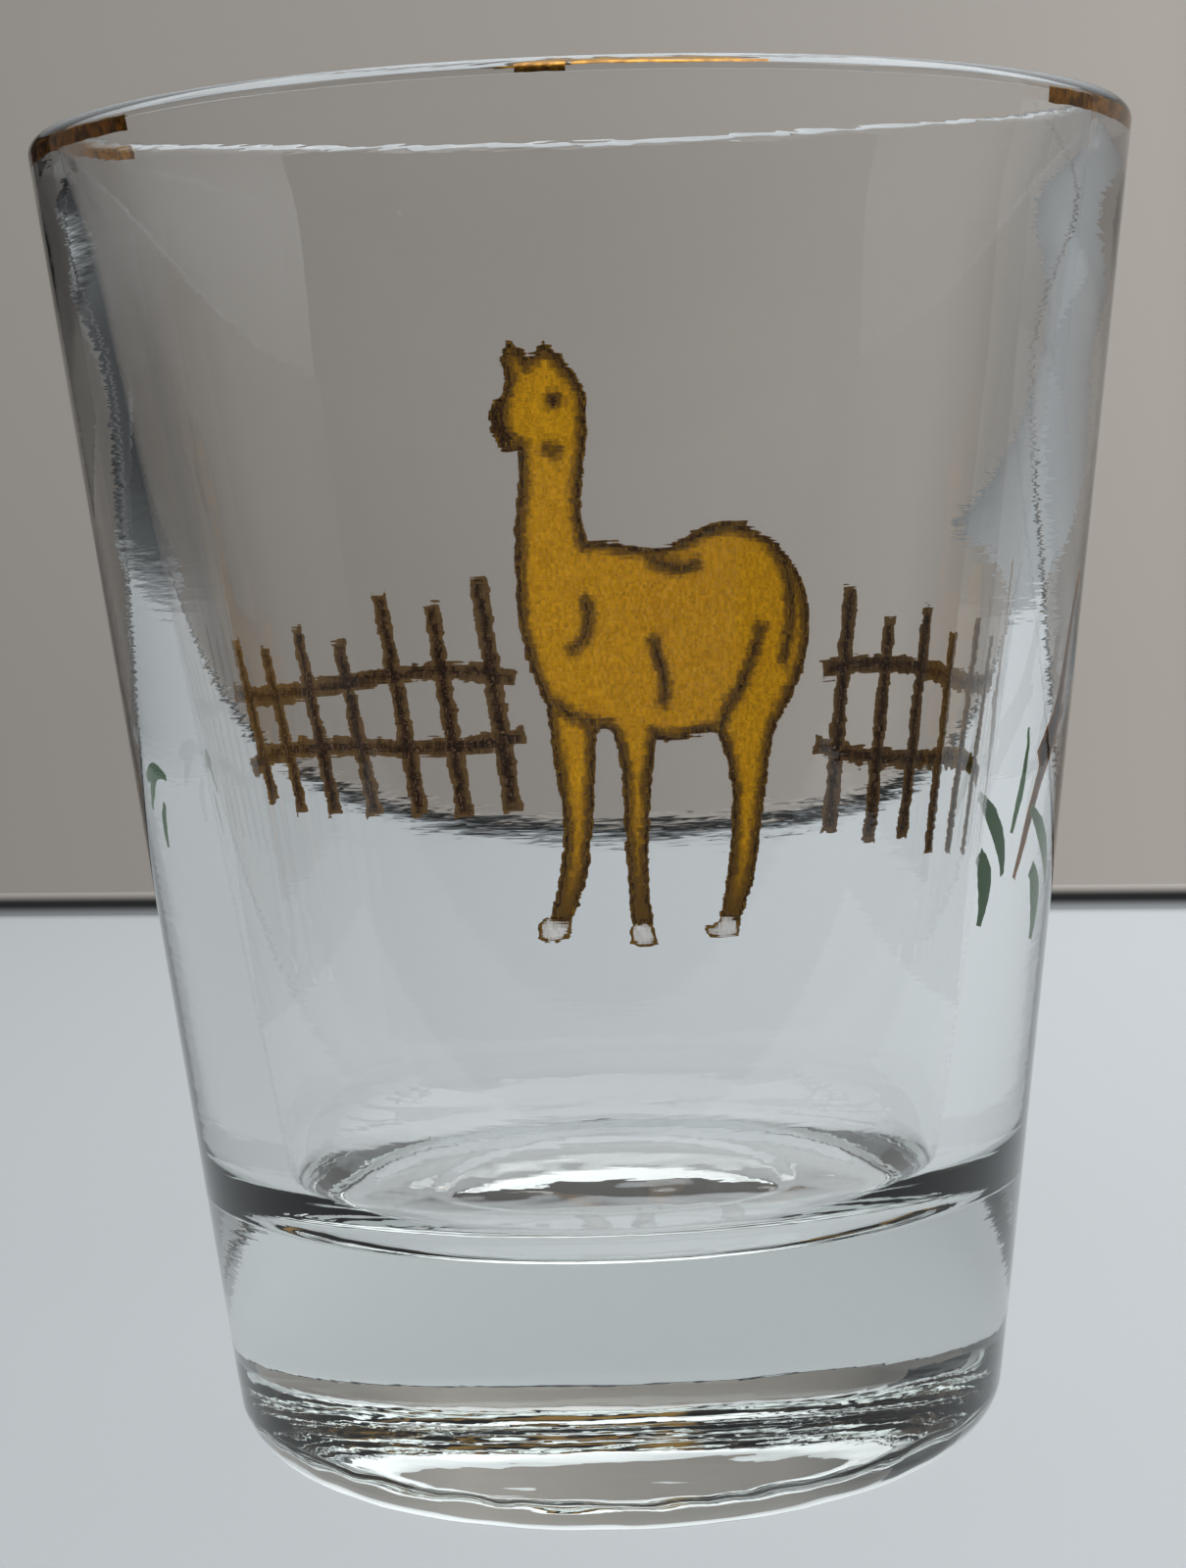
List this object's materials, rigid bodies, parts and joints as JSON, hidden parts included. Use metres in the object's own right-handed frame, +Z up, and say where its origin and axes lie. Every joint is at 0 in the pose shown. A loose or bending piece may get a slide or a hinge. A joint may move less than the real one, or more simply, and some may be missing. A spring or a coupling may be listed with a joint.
{
  "type": "shot glass",
  "caption": "Clear tapered shot glass with a thick solid base, a worn gold line at the lip and fired enamel artwork of a llama between pole fences.",
  "frame": {"origin": "centre of the foot, on the table plane", "axes": "+Z up along the axis of the glass, +Y to the back where the llama is, +X to the right as seen from the front"},
  "size_m": [0.0471, 0.0471, 0.057],
  "materials": {
    "clear_glass": "clear, glossy",
    "gold": "thin fired gold, worn, semi-gloss",
    "enamel_brown": "fired enamel, satin",
    "enamel_ochre": "fired enamel, satin",
    "enamel_white": "fired enamel, satin",
    "enamel_green": "fired enamel, satin"
  },
  "bodies": {
    "root": {"glass_body": "clear_glass", "gold_rim_line": "gold", "llama_outline": "enamel_brown", "llama_coat": "enamel_ochre", "llama_hooves": "enamel_white", "fence_left": "enamel_brown", "fence_right": "enamel_brown", "twig": "enamel_brown", "grass_right": "enamel_green", "grass_left": "enamel_green"}
  },
  "joints": []
}
